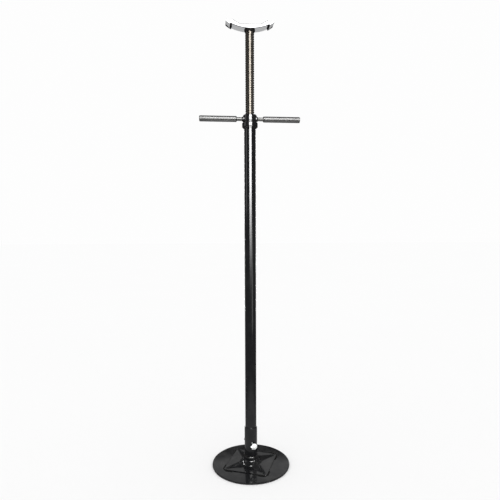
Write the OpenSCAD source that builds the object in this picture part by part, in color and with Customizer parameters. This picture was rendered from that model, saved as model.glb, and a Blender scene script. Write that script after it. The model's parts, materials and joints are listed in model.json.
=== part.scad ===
// High-reach support stand: a round floor plate with a pressed star gusset and socket,
// a tall tube bolted into the socket, and a non-turning lift screw with a curved saddle,
// raised by a long-handled nut that spins on a thrust bearing at the top of the tube.
// Units are millimetres; Z is up, the saddle and the handles lie along X, the bolt faces -Y.

/* [Floor plate and gusset] */
// Diameter of the round floor plate
base_d = 298; // [248:2:400]
// Thickness of the floor plate
base_t = 6; // [4:0.5:12]
// Rounding of the floor plate's upper rim
base_edge_r = 1.6; // [0.4:0.2:2]
// Side of the square gusset sheet
gusset_side = 168; // [140:2:200]
// Rounding of the gusset's corners
gusset_corner_r = 7; // [3:0.5:12]
// Thickness of the gusset sheet
gusset_t = 3; // [2:0.25:5]
// Height of the pressed ribs above the flat of the sheet
rib_h = 17; // [10:0.5:22]
// Half width of a rib where it meets the neck
rib_half_w = 21; // [14:0.5:24]
// Direction of the first gusset corner, measured from +X
gusset_turn = 24; // [0:1:89]
// Height of the gusset's neck above its ribs
neck_h = 10; // [6:0.5:16]
// Length of one weld bead beside a gusset corner
bead_len = 26; // [14:1:34]
// Radius of the weld beads beside the gusset corners
bead_r = 4; // [2:0.1:5]

/* [Socket] */
// Height of the socket's rim above the floor
socket_top = 152; // [126:1:200]
// Wall of the socket
socket_wall = 2.6; // [2:0.1:4]
// Rounding of the socket's rim
socket_edge_r = 1.2; // [0.4:0.1:1.2]
// Height of the cross bolt above the floor
bolt_z = 84; // [70:1:110]
// Direction of the bolt's head, measured from -Y towards +X
bolt_turn = 17; // [-20:1:20]
// Diameter of the cross bolt
bolt_d = 16; // [10:1:19]
// Hexagon of the cross bolt and its nut, across flats
bolt_af = 24; // [21:0.5:29]
// Thickness of the bolt's head
bolt_head_t = 10; // [7:0.5:12]

/* [Tube] */
// Wall of the tube
tube_wall = 2.6; // [2:0.1:3.4]
// Wall of the guide cap that fills the tube around the screw
cap_wall = 2.2; // [1.8:0.1:5]
// Height of the tube's top end above the floor
tube_top = 1276; // [1060:2:1540]

/* [Bearing] */
// Width of the thrust bearing's rings
race_w = 8.1; // [6.8:0.1:10]
// Height of the thrust bearing
bearing_h = 11; // [9:0.5:14]
// Diameter of one bearing ball
ball_d = 5.5; // [4.5:0.25:6.5]
// Number of bearing balls
ball_count = 18; // [12:1:18]

/* [Spinner nut] */
// Wall of the nut's body around the thread
nut_wall = 8.75; // [7.5:0.25:11]
// Wall of the cup that covers the bearing
cup_wall = 2.6; // [2:0.1:5]
// Height of the threaded part of the nut
nut_h = 35; // [30:0.5:45]
// Height of the handle rods above the bottom of the threaded part
handle_up = 20; // [18:0.5:24]
// Diameter of a handle boss
boss_d = 17; // [16:0.5:19]
// How far a handle boss stands out of the nut's body
boss_out = 4.25; // [3:0.25:8]

/* [Handles] */
// Bare length of rod between a boss and its grip
rod_show = 19; // [8:1:40]
// Diameter of a grip
grip_d = 21; // [20:0.5:25]
// Length of a grip
grip_len = 136; // [90:2:170]
// Diameter of a handle rod
rod_d = 13; // [9:0.5:14]

/* [Lift screw] */
// Outer diameter of the lift screw
screw_d = 32; // [26:0.5:38.5]
// Rise of the screw for one turn of the nut
pitch = 8; // [6.5:0.5:10]
// Depth of the screw's thread
thread_depth = 2.2; // [1.8:0.1:2.7]
// Height of the saddle's underside above the nut in the position shown
shown_up = 296; // [30:2:400]
// How far the screw can still rise from the position shown
lift_up = 360; // [300:5:440]

/* [Saddle] */
// Depth of the saddle, front to back
saddle_w = 42; // [35:1:60]
// Reach of the curved web to either side
web_reach = 70; // [58:1:84]
// Reach of a folded end beyond the web
flap_reach = 18; // [15:1:24]
// Radius of the saddle's curved underside
saddle_r = 171; // [142:1:205]
// Thickness of the saddle's sheet
saddle_t = 4; // [3:0.25:5]
// Height of the saddle's lips above its underside at the middle
lip_h = 14; // [11:0.5:17]
// Slope of the folded ends
end_slope = 34; // [28:1:38]

/* [Fits] */
// Gap all round the tube in the socket
tube_gap = 0.35; // [0.3:0.05:0.4]
// Running clearance between screw and guide, per side
guide_gap = 0.4; // [0.3:0.05:0.6]
// Clearance between the two threads
thread_gap = 0.4; // [0.35:0.05:0.5]
// Small gap left between parts that are stacked or pressed together
seat_gap = 0.02; // [0.01:0.01:0.05]

/* [Hidden] */
$fn = 96;

black = [0.05, 0.05, 0.055];
weld_black = [0.03, 0.03, 0.03];
zinc = [0.80, 0.81, 0.80];
steel = [0.62, 0.62, 0.60];
dark_steel = [0.24, 0.23, 0.21];
chrome = [0.86, 0.87, 0.88];
brass = [0.72, 0.58, 0.30];

// Gusset: one quarter holds arc_steps samples either side of its corner.
arc_steps = 7;
gusset_half = gusset_side / 2;
corner_centre = (gusset_half - gusset_corner_r) * sqrt(2);
neck_gap = 0.3;
neck_round = 1;
dome_w = 14;
rib_inset = 9;
rib_tip_half_w = 5;
radial_samples = 9;
bead_margin = 2;

// Each round part is sized outwards from the screw: guide cap, tube, socket, neck.
screw_r = screw_d / 2;
cap_in = screw_r + guide_gap;
tube_in = cap_in + cap_wall;
tube_r = tube_in + tube_wall;
socket_in = tube_r + tube_gap;
socket_r = socket_in + socket_wall;
neck_in = socket_r + neck_gap;
neck_out = neck_in + gusset_t + neck_round;
dome_out = neck_out + dome_w;
rib_tip = gusset_half * sqrt(2) - rib_inset;
flat_z = base_t + gusset_t;
neck_z = flat_z + rib_h + neck_h;
weld_leg = 4.6;

// Cross bolt
through = 4 * socket_r;
bolt_hole_gap = 0.25;
bolt_hole_r = bolt_d / 2 + bolt_hole_gap;
hex_chamfer = 1.4;
bolt_chamfer = 1;
bolt_face = socket_r + seat_gap;
bolt_washer_t = 2.5;
bolt_washer_r = bolt_af * 0.62;
bolt_nut_t = 13;
bolt_tail = 3;
dish_r = bolt_af * 0.29;
dish_depth = 1.2;

// Screw: the thread is a stub trapezoid with 15 degree flanks.
core_r = screw_r - thread_depth;
flank_w = thread_depth * tan(15);
crest_w = pitch * 0.42;
run_out = 0.35;
screw_steps = 14;
nut_steps = 24;
shoulder = 1;
journal_r = core_r - shoulder;
stop_t = 5;
stop_gap = 0.8;
stop_r = tube_in - stop_gap;
stop_plate_t = 2.5;
stop_head_t = 6.4;
stop_head_af = 17;
spigot_r = 9;
spigot_over = 1.2;
hole_r = 5.2;
hole_depth = 28;
press_gap = 0.05;
slip_gap = 0.15;

// Stack at the top of the tube, from the tube's end upwards
cap_flange = 4;
cap_reach = 14;
lip_t = 1.6;
lip_step = 0.4;
flange_top = tube_top + cap_flange;
bearing_z = flange_top + seat_gap;
nut_z = bearing_z + bearing_h + seat_gap;
nut_top = nut_z + nut_h;
handle_z = nut_z + handle_up;
cup_lift = 0.5;
cup_z = bearing_z + cup_lift;
cup_over = 7;
cup_top = nut_z + cup_over;
race_gap = 0.9;
race_step = 0.2;
race_in = screw_r + race_gap;
bearing_r = race_in + race_w;
cup_in = bearing_r + race_gap;
cup_r = cup_in + cup_wall;
cup_round = 3;
race_t = (bearing_h - ball_d * 0.62) / 2;
ball_z = bearing_z + bearing_h / 2;
ball_path = (bearing_r + race_in) / 2;
ball_gap = 0.05;
cage_t = ball_d * 0.34;
cage_half_w = ball_d * 0.62;
cage_gap = 0.1;

// Screw lengths follow the travel
saddle_z = nut_top + shown_up;
cap_bottom = tube_top - cap_reach;
stop_spare = 1;
stop_z = cap_bottom - lift_up - stop_spare;
screw_bottom = stop_z - stop_t;
plain_foot = 3;
plain_head = 1;
thread_foot = stop_z + plain_foot;
thread_head = saddle_z - plain_head;
turns = floor((thread_head - thread_foot) / pitch) - 1;
thread_z = thread_head - (turns + 1) * pitch + crest_w / 2 + flank_w;

// Handles
nut_r = screw_r + nut_wall;
boss_r = boss_d / 2;
boss_end = nut_r + boss_out;
rod_seat_wall = 2.2;
rod_in = screw_r + thread_gap + rod_seat_wall;
grip_start = boss_end + rod_show;
rod_cover = 12;
rod_out = grip_start + grip_len - rod_cover;

// Saddle
web_angle = asin(web_reach / saddle_r);
web_rise = saddle_r * (1 - cos(web_angle));
lip_flat = 37;
lip_rise = 19;
lip_end = web_reach + 1;
corner_r = 2.6;
hem_t = 3.4;
hem_bead = 3.4;
web_bite = 2;
end_gap = 0.2;
collar_w = 3.6;
collar_h = 7;

// ---- shared shapes -------------------------------------------------------

module ring(r_out, r_in, z0, z1) {
    t = z1 - z0;
    translate([0, 0, z0])
        difference() {
            cylinder(r = r_out, h = t);
            translate([0, 0, -t])
                cylinder(r = r_in, h = 3 * t);
        }
}

// A ring with its upper outer edge rounded.
module soft_ring(r_out, r_in, z0, z1, edge) {
    rotate_extrude() {
        translate([r_in, z0])
            square([r_out - edge - r_in, z1 - z0]);
        translate([r_in, z0])
            square([r_out - r_in, z1 - z0 - edge]);
        translate([r_out - edge, z1 - edge])
            circle(r = edge, $fn = 48);
    }
}

// A hexagon prism along +Z with both corners of its outer end turned back.
module hexagon(across, h) {
    corner = across / 2 / cos(30);
    intersection() {
        cylinder(r = corner, h = h, $fn = 6);
        union() {
            cylinder(r = across, h = h - hex_chamfer);
            translate([0, 0, h - hex_chamfer])
                cylinder(r1 = corner, r2 = across / 2 - hex_chamfer / 2, h = hex_chamfer);
        }
    }
}

// Turns +Z towards the bolt's head.
module along_bolt() {
    translate([0, 0, bolt_z])
        rotate([0, 0, bolt_turn])
            rotate([90, 0, 0])
                children();
}

// ---- helical thread ------------------------------------------------------
// Each turn carries four corners: crest start, crest end, root start, root end.
// The first turn is plain at the root radius and the last one plain at the crest
// radius, so both ends close with flat rings.

function grow(i, n, last) = min(1, max(0, (i - n) / n / run_out));
function fade(i, n, last) = min(1, max(0, (last - n - i) / n / run_out));
function corner_radius(i, j, n, last, rc, rr) =
    j < 2 ? rr + (rc - rr) * grow(i, n, last) : rc - (rc - rr) * fade(i, n, last);
function corner_rise(j, cw, fw, p) =
    [-cw / 2, cw / 2, cw / 2 + fw, p - cw / 2 - fw][j];
function thread_points(n, last, rc, rr, cw, fw, p, z) =
    [for (i = [0:last], j = [0:3])
        let (r = corner_radius(i, j, n, last, rc, rr), a = 360 * i / n)
        [r * cos(a), r * sin(a), z + p * i / n + corner_rise(j, cw, fw, p)]];
function ring_points(n, r, z) =
    [for (i = [0:n - 1]) [r * cos(360 * i / n), r * sin(360 * i / n), z]];
function quad(a, b, c, d) = [[a, b, c], [a, c, d]];

// low and high are lists of [radius, height] rings added below and above the thread;
// the thread's own closing rings are the last of low and the first of high.
module threaded_bar(n, turn_count, rc, rr, cw, fw, p, z, low, high) {
    last = n * turn_count;
    thread = thread_points(n, last, rc, rr, cw, fw, p, z);
    base_low = len(thread);
    base_high = base_low + n * len(low);
    points = concat(thread,
        [for (k = low) for (q = ring_points(n, k[0], k[1])) q],
        [for (k = high) for (q = ring_points(n, k[0], k[1])) q]);
    foot = base_low + n * (len(low) - 1);
    flanks = [for (i = [0:last - 1], j = [0:2])
        for (f = quad(4 * i + j, 4 * i + j + 1, 4 * i + j + 5, 4 * i + j + 4)) f];
    risers = [for (i = [0:last - n - 1])
        for (f = quad(4 * i + 3, 4 * (i + n), 4 * (i + n + 1), 4 * i + 7)) f];
    foot_strip = [for (i = [0:n - 2])
        for (f = quad(foot + i, 4 * i, 4 * i + 4, foot + i + 1)) f];
    foot_last = [[foot + n - 1, 4 * (n - 1), 4 * n, 3, 2, 1, 0, foot]];
    tail = 4 * (last - n);
    head_strip = [for (i = [1:n - 1])
        for (f = quad(tail + 4 * i + 3, base_high + i, base_high + (i + 1) % n,
            tail + 4 * i + 7)) f];
    head_first = [[tail + 3, 4 * last, 4 * last + 1, 4 * last + 2, 4 * last + 3,
        base_high, base_high + 1, tail + 7]];
    low_walls = len(low) < 2 ? [] : [for (k = [0:len(low) - 2], i = [0:n - 1])
        for (f = quad(base_low + n * k + i, base_low + n * (k + 1) + i,
            base_low + n * (k + 1) + (i + 1) % n, base_low + n * k + (i + 1) % n)) f];
    high_walls = len(high) < 2 ? [] : [for (k = [0:len(high) - 2], i = [0:n - 1])
        for (f = quad(base_high + n * k + i, base_high + n * (k + 1) + i,
            base_high + n * (k + 1) + (i + 1) % n, base_high + n * k + (i + 1) % n)) f];
    foot_cap = [[for (i = [0:n - 1]) base_low + i]];
    top = base_high + n * (len(high) - 1);
    head_cap = [[for (i = [n - 1:-1:0]) top + i]];
    polyhedron(points = points, faces = concat(flanks, risers, foot_strip, foot_last,
        head_strip, head_first, low_walls, high_walls, foot_cap, head_cap), convexity = 10);
}

// ---- base ----------------------------------------------------------------

module base_plate() {
    color(black)
        soft_ring(base_d / 2, 0, 0, base_t, base_edge_r);
}

// Distance from the axis to the sheet's outline, off degrees away from a corner.
function outline(off) =
    let (edge = gusset_half / cos(45 - abs(off)),
        inside = pow(gusset_corner_r, 2) - pow(corner_centre * sin(off), 2),
        arc = inside > 0 ? corner_centre * cos(off) + sqrt(inside) : edge)
    min(edge, arc);
function ease(u) = u * u * (3 - 2 * u);
function rib_part(r, off) =
    let (u = min(1, max(0, (r - neck_out) / (rib_tip - neck_out))),
        half = rib_half_w * (1 - u) + rib_tip_half_w * u,
        d = min(1, abs(r * sin(off)) / half))
    rib_h * (1 - u) * (1 - ease(d));
function dome_part(r) =
    rib_h * ease(min(1, max(0, (dome_out - r) / (dome_out - neck_out))));
function sheet_rise(r, off) =
    pow(pow(rib_part(r, off), 4) + pow(dome_part(r), 4), 0.25);

// Samples crowd towards each corner so the rounded outline stays true.
sample_turns = [for (q = [0:3], k = [-arc_steps + 1:arc_steps])
    let (off = 45 * sign(k) * pow(abs(k) / arc_steps, 1.5))
    [90 * q + off, off]];

// Rings of samples crowd towards the neck, where the sheet bends most.
radial_steps = [for (k = [0:radial_samples]) pow(k / radial_samples, 1.5)];

module gusset_sheet() {
    n = len(sample_turns);
    m = len(radial_steps);
    upper = [for (v = radial_steps) for (s = sample_turns)
        let (r = neck_out + (outline(s[1]) - neck_out) * v)
        [r * cos(s[0]), r * sin(s[0]), flat_z + sheet_rise(r, s[1])]];
    lower = [for (v = radial_steps) for (s = sample_turns)
        let (r = neck_out + (outline(s[1]) - neck_out) * v)
        [r * cos(s[0]), r * sin(s[0]), base_t + sheet_rise(r, s[1])]];
    rims = [for (rz = [[neck_out, neck_z - neck_round], [neck_out - neck_round, neck_z],
            [neck_in, neck_z], [neck_in, base_t + rib_h]])
        for (s = sample_turns) [rz[0] * cos(s[0]), rz[0] * sin(s[0]), rz[1]]];
    // Rings in order: outline of the upper face inwards, neck, then the lower face outwards.
    points = concat(upper, rims, lower);
    order = concat([for (k = [m - 1:-1:0]) k], [m, m + 1, m + 2, m + 3],
        [for (k = [0:m - 1]) m + 4 + k]);
    count = len(order);
    walls = [for (k = [0:count - 1], i = [0:n - 1])
        let (a = n * order[k], b = n * order[(k + 1) % count], j = (i + 1) % n)
        for (f = quad(a + i, b + i, b + j, a + j)) f];
    polyhedron(points = points, faces = walls, convexity = 10);
}

module base_gusset() {
    color(black)
        rotate([0, 0, gusset_turn])
            gusset_sheet();
}

// One bead lies outside the sheet's edge, on the plate.
module bead() {
    outwards = bead_r * 0.5;
    upwards = bead_r * 0.3;
    intersection() {
        translate([gusset_half + outwards, 0, base_t + upwards])
            rotate([90, 0, 0])
                union() {
                    cylinder(r = bead_r, h = bead_len);
                    sphere(r = bead_r, $fn = 48);
                    translate([0, 0, bead_len])
                        sphere(r = bead_r, $fn = 48);
                }
        translate([gusset_half + seat_gap, -gusset_side, base_t + seat_gap])
            cube([gusset_side, 2 * gusset_side, gusset_side]);
    }
}

module gusset_welds() {
    inset = gusset_half - gusset_corner_r - bead_margin;
    color(weld_black)
        for (q = [0:3])
            rotate([0, 0, gusset_turn + 45 + 90 * q]) {
                translate([0, inset, 0])
                    bead();
                translate([0, bead_len - inset, 0])
                    bead();
            }
}

// ---- socket and tube -----------------------------------------------------

module post_socket() {
    color(black)
        difference() {
            soft_ring(socket_r, socket_in, base_t + seat_gap, socket_top, socket_edge_r);
            along_bolt()
                cylinder(r = bolt_hole_r, h = through, center = true, $fn = 64);
        }
}

module socket_weld() {
    bulge = 0.6;
    color(weld_black)
        rotate_extrude()
            intersection() {
                translate([socket_r + bulge, neck_z + bulge])
                    circle(r = weld_leg - bulge, $fn = 48);
                translate([socket_r + seat_gap, neck_z + seat_gap])
                    square(2 * weld_leg);
            }
}

module post_tube() {
    color(black)
        difference() {
            ring(tube_r, tube_in, base_t + seat_gap, tube_top);
            along_bolt()
                cylinder(r = bolt_hole_r, h = through, center = true, $fn = 64);
        }
}

module socket_bolt() {
    reach = bolt_face + bolt_washer_t + bolt_nut_t + bolt_tail;
    color(zinc)
        along_bolt()
            difference() {
                union() {
                    translate([0, 0, bolt_face])
                        hexagon(bolt_af, bolt_head_t);
                    translate([0, 0, bolt_chamfer - reach])
                        cylinder(r = bolt_d / 2, h = reach + bolt_face, $fn = 64);
                    translate([0, 0, -reach])
                        cylinder(r1 = bolt_d / 2 - bolt_chamfer, r2 = bolt_d / 2,
                            h = bolt_chamfer, $fn = 64);
                }
                translate([0, 0, bolt_face + bolt_head_t - dish_depth])
                    cylinder(r = dish_r, h = 2 * dish_depth, $fn = 64);
            }
}

module bolt_washer() {
    color(zinc)
        along_bolt()
            ring(bolt_washer_r, bolt_hole_r, -bolt_face - bolt_washer_t, -bolt_face);
}

module bolt_nut() {
    color(zinc)
        along_bolt()
            translate([0, 0, -bolt_face - bolt_washer_t - seat_gap])
                rotate([180, 0, 0])
                    difference() {
                        hexagon(bolt_af, bolt_nut_t);
                        cylinder(r = bolt_d / 2 + press_gap, h = through, center = true,
                            $fn = 64);
                    }
}

// ---- bearing stack -------------------------------------------------------

module post_cap() {
    color(black)
        union() {
            ring(bearing_r - lip_step, cap_in, flange_top - lip_t, flange_top);
            ring(tube_r, cap_in, tube_top + seat_gap, flange_top);
            ring(tube_in - seat_gap, cap_in, cap_bottom, flange_top);
        }
}

module ball_groove() {
    rotate_extrude()
        translate([ball_path, ball_z])
            circle(r = ball_d / 2 + ball_gap, $fn = 48);
}

module lower_race() {
    color(steel)
        difference() {
            ring(bearing_r, race_in, bearing_z, bearing_z + race_t);
            ball_groove();
        }
}

module upper_race() {
    color(steel)
        difference() {
            ring(bearing_r - race_step, race_in - race_step,
                bearing_z + bearing_h - race_t, bearing_z + bearing_h);
            ball_groove();
        }
}

module at_balls() {
    for (k = [0:ball_count - 1])
        rotate([0, 0, 360 * k / ball_count])
            translate([ball_path, 0, ball_z])
                children();
}

module ball_cage() {
    color(brass)
        difference() {
            ring(ball_path + cage_half_w, ball_path - cage_half_w,
                ball_z - cage_t / 2, ball_z + cage_t / 2);
            at_balls()
                cylinder(r = ball_d / 2 + cage_gap, h = ball_d, center = true, $fn = 32);
        }
}

module bearing_balls() {
    color(steel)
        at_balls()
            sphere(d = ball_d, $fn = 32);
}

// ---- spinner nut and handles ---------------------------------------------

module nut_outline() {
    waist = 1.6;
    top_round = 4;
    rotate_extrude() {
        translate([0, nut_z])
            square([nut_r - waist, nut_h - top_round]);
        translate([0, nut_z])
            square([nut_r - top_round, nut_h]);
        translate([0, cup_top + waist])
            square([nut_r, nut_top - top_round - cup_top - waist]);
        translate([nut_r - top_round, nut_top - top_round])
            circle(r = top_round, $fn = 64);
        translate([0, cup_z])
            square([cup_r - cup_round, cup_top - cup_z]);
        translate([0, cup_z + cup_round])
            square([cup_r, cup_top - cup_z - 2 * cup_round]);
        for (z = [cup_z + cup_round, cup_top - cup_round])
            translate([cup_r - cup_round, z])
                circle(r = cup_round, $fn = 64);
    }
}

module handle_boss() {
    taper = 1.6;
    flat = boss_end - taper;
    rotate([0, 90, 0])
        cylinder(r = boss_r, h = flat, $fn = 64);
    translate([flat, 0, 0])
        rotate([0, 90, 0])
            cylinder(r1 = boss_r, r2 = boss_r - taper, h = taper, $fn = 64);
}

module nut_thread() {
    widen = 2 * thread_gap;
    start = nut_z - 3 * pitch;
    lead = thread_z + pitch * ceil((start - thread_z) / pitch);
    reach = ceil((nut_top + 2 * pitch - lead) / pitch);
    grown = thread_gap / cos(180 / nut_steps);
    threaded_bar(nut_steps, reach, screw_r + grown, core_r + grown, crest_w + widen,
        flank_w, pitch, lead, [[core_r + grown, lead - pitch]],
        [[screw_r + grown, lead + pitch * (reach + 2)]]);
}

module spinner_nut() {
    below = 2;
    color(black)
        difference() {
            union() {
                nut_outline();
                for (s = [0, 180])
                    translate([0, 0, handle_z])
                        rotate([0, 0, s])
                            handle_boss();
            }
            translate([0, 0, cup_z - below])
                cylinder(r = cup_in, h = nut_z - cup_z + below);
            translate([0, 0, handle_z])
                for (s = [0, 180])
                    rotate([0, 0, s])
                        translate([rod_in, 0, 0])
                            rotate([0, 90, 0])
                                cylinder(r = rod_d / 2 + press_gap, h = boss_end, $fn = 64);
            nut_thread();
        }
}

module handle_rod() {
    start = rod_in + seat_gap;
    translate([start, 0, handle_z])
        rotate([0, 90, 0])
            cylinder(r = rod_d / 2, h = rod_out - start, $fn = 64);
}

module grip() {
    inner_round = 3;
    outer_chamfer = 1.4;
    r = grip_d / 2;
    translate([grip_start, 0, handle_z])
        rotate([0, 90, 0])
            difference() {
                union() {
                    rotate_extrude($fn = 96) {
                        translate([0, inner_round])
                            square([r, grip_len - inner_round - outer_chamfer]);
                        square([r - inner_round, grip_len - outer_chamfer]);
                        translate([r - inner_round, inner_round])
                            circle(r = inner_round, $fn = 64);
                    }
                    translate([0, 0, grip_len - outer_chamfer])
                        cylinder(r1 = r, r2 = r - outer_chamfer, h = outer_chamfer);
                }
                translate([0, 0, -grip_len])
                    cylinder(r = rod_d / 2 + press_gap,
                        h = grip_len + rod_out - grip_start + seat_gap, $fn = 64);
            }
}

module rod_right() {
    color(steel)
        handle_rod();
}

module rod_left() {
    color(steel)
        rotate([0, 0, 180])
            handle_rod();
}

module grip_right() {
    color(steel)
        grip();
}

module grip_left() {
    color(steel)
        rotate([0, 0, 180])
            grip();
}

// ---- lift screw ----------------------------------------------------------

module lift_screw() {
    shank_z = saddle_z - seat_gap;
    color(dark_steel)
        threaded_bar(screw_steps, turns, screw_r, core_r, crest_w, flank_w, pitch, thread_z,
            [[hole_r, screw_bottom + hole_depth], [hole_r, screw_bottom],
                [journal_r, screw_bottom], [journal_r, stop_z + shoulder],
                [core_r, stop_z + shoulder]],
            [[screw_r, shank_z], [spigot_r, shank_z],
                [spigot_r, saddle_z + saddle_t + spigot_over]]);
}

module stop_washer() {
    color(zinc)
        ring(stop_r, journal_r + slip_gap, screw_bottom, stop_z);
}

module stop_bolt() {
    plate_z = screw_bottom - stop_plate_t;
    color(zinc)
        union() {
            translate([0, 0, plate_z])
                cylinder(r = journal_r + shoulder, h = stop_plate_t - seat_gap);
            translate([0, 0, plate_z])
                rotate([180, 0, 0])
                    hexagon(stop_head_af, stop_head_t);
            translate([0, 0, plate_z])
                cylinder(r = hole_r - slip_gap, h = hole_depth, $fn = 48);
        }
}

// ---- saddle --------------------------------------------------------------

// The bead under the saddle rises to meet the curve of its underside.
module saddle_weld() {
    over = 3;
    color(weld_black)
        difference() {
            rotate_extrude()
                translate([screw_r, saddle_z])
                    intersection() {
                        union() {
                            translate([0, -collar_w])
                                scale([1, collar_h / collar_w - 1])
                                    circle(r = collar_w, $fn = 48);
                            translate([0, -collar_w])
                                square([collar_w, collar_w + over]);
                        }
                        translate([press_gap, -collar_h])
                            square([collar_w, collar_h + over]);
                    }
            underside_round();
        }
}

// The cylinder that the saddle's underside is part of.
module underside_round() {
    translate([0, 0, saddle_z + saddle_r])
        rotate([90, 0, 0])
            cylinder(r = saddle_r + press_gap, h = 2 * saddle_w, center = true, $fn = 360);
}

// The bent tray: a trough section swept along the arc of the underside.
module trough_section() {
    half = saddle_w / 2;
    deep = 26;
    difference() {
        union() {
            translate([saddle_r - deep, -half])
                square([deep - corner_r, saddle_w]);
            translate([saddle_r - deep, corner_r - half])
                square([deep, saddle_w - 2 * corner_r]);
            for (s = [-1, 1])
                translate([saddle_r - corner_r, s * (half - corner_r)])
                    circle(r = corner_r, $fn = 48);
        }
        translate([saddle_r - deep - 1, saddle_t - half])
            square([deep + 1 - saddle_t, saddle_w - 2 * saddle_t]);
    }
}

module trough() {
    translate([0, 0, saddle_z + saddle_r])
        rotate([90, 0, 0])
            rotate([0, 0, -90 - web_angle])
                rotate_extrude(angle = 2 * web_angle, $fn = 360)
                    trough_section();
}

// Keeps what lies under the lips' three straight top edges.
module lip_keep() {
    low = saddle_z - saddle_t;
    top = saddle_z + lip_h;
    side = top + lip_rise;
    rotate([90, 0, 0])
        linear_extrude(height = 2 * saddle_w, center = true)
            polygon([[-lip_end, low], [lip_end, low], [lip_end, side], [lip_flat, top],
                [-lip_flat, top], [-lip_end, side]]);
}

// One folded end in its own plane: the sheet, the fold and the turned-under flap.
module folded_end() {
    length = flap_reach / cos(end_slope);
    fold_r = (saddle_t + hem_t) / 2;
    straight = length - fold_r;
    translate([web_reach, 0, saddle_z + web_rise])
        rotate([90, -end_slope, 0])
            translate([0, 0, -saddle_w / 2])
                linear_extrude(height = saddle_w) {
                    translate([-web_bite, end_gap])
                        square([straight + web_bite, saddle_t - end_gap]);
                    translate([0, end_gap - hem_t])
                        square([straight, hem_t + end_gap]);
                    translate([straight, saddle_t - fold_r])
                        circle(r = fold_r, $fn = 64);
                }
}

module saddle() {
    color(chrome)
        difference() {
            union() {
                intersection() {
                    trough();
                    lip_keep();
                }
                folded_end();
                rotate([0, 0, 180])
                    folded_end();
            }
            translate([0, 0, saddle_z])
                cylinder(r = spigot_r + slip_gap, h = 4 * saddle_t, center = true, $fn = 64);
        }
}

module end_weld() {
    margin = 1;
    drop = hem_t / 2;
    translate([web_reach, 0, saddle_z + web_rise])
        rotate([90, -end_slope, 0])
            difference() {
                translate([-hem_bead - seat_gap, -drop, margin - saddle_w / 2])
                    cylinder(r = hem_bead, h = saddle_w - 2 * margin, $fn = 32);
                translate([-2 * web_bite, end_gap - seat_gap, -saddle_w])
                    cube([2 * web_bite, hem_bead, 2 * saddle_w]);
            }
}

module end_welds() {
    color(weld_black)
        difference() {
            union() {
                end_weld();
                rotate([0, 0, 180])
                    end_weld();
            }
            underside_round();
        }
}

base_plate();
base_gusset();
gusset_welds();
post_socket();
socket_weld();
post_tube();
socket_bolt();
bolt_washer();
bolt_nut();
post_cap();
lower_race();
ball_cage();
bearing_balls();
upper_race();
spinner_nut();
rod_left();
rod_right();
grip_left();
grip_right();
lift_screw();
stop_washer();
stop_bolt();
saddle_weld();
saddle();
end_welds();
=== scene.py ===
"""High-reach support stand: looks, floor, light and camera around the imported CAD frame."""
import json
import math

import bmesh
import bpy
import numpy as np
from mathutils import Matrix, Vector

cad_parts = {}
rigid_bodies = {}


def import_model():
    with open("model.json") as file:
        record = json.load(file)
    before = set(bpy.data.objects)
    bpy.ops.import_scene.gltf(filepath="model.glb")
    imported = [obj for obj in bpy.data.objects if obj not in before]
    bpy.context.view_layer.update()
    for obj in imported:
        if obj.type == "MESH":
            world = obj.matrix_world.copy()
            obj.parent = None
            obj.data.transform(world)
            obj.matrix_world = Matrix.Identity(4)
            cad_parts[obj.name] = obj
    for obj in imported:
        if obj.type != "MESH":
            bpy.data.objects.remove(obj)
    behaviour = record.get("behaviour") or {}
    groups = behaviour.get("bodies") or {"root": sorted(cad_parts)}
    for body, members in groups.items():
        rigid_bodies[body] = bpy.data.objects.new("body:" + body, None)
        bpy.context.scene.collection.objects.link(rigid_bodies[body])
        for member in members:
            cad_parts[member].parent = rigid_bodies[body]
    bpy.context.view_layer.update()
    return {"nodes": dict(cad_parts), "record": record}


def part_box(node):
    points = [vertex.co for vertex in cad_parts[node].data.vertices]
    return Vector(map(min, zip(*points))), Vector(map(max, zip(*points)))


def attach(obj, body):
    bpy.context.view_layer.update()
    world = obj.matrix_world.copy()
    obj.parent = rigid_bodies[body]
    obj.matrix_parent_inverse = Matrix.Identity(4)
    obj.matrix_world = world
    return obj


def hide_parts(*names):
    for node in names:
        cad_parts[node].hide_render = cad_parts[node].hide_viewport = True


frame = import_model()
NODES = frame["nodes"]
TAU = 2 * math.pi


def span(node):
    """Lowest and highest corner of a CAD node as two lists."""
    low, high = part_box(node)
    return list(low), list(high)


def coupling_ratio(joint):
    """Metres that a following joint moves for each radian of its driver."""
    rows = frame["record"]["behaviour"]["couplings"]
    return [row["ratio"] for row in rows if row["joint"] == joint][0]


# ---- sizes read from the frame ---------------------------------------------

PLATE_HIGH = span("base_plate")[1]
PLATE_R = PLATE_HIGH[1]
PLATE_T = PLATE_HIGH[2]
SOCKET_HIGH = span("post_socket")[1]
SOCKET_R = SOCKET_HIGH[1]
SOCKET_TOP = SOCKET_HIGH[2]
TUBE_HIGH = span("post_tube")[1]
TUBE_R = TUBE_HIGH[1]
TUBE_TOP = TUBE_HIGH[2]
SCREW_LOW, SCREW_HIGH = span("lift_screw")
SCREW_R = SCREW_HIGH[0]
NUT_LOW, NUT_HIGH = span("spinner_nut")
CUP_R = NUT_HIGH[1]
BOSS_REACH = NUT_HIGH[0]
GRIP_LOW, GRIP_HIGH = span("grip_right")
GRIP_R = (GRIP_HIGH[2] - GRIP_LOW[2]) / 2
HANDLE_Z = (GRIP_HIGH[2] + GRIP_LOW[2]) / 2
ROD_LOW, ROD_HIGH = span("rod_right")
ROD_R = (ROD_HIGH[2] - ROD_LOW[2]) / 2
SADDLE_LOW, SADDLE_HIGH = span("saddle")
SADDLE_Z = SADDLE_LOW[2]
SADDLE_HALF = SADDLE_HIGH[1]
PITCH = coupling_ratio("screw_lift") * TAU

# ---- sizes the frame doesn't state directly --------------------------------

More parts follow.
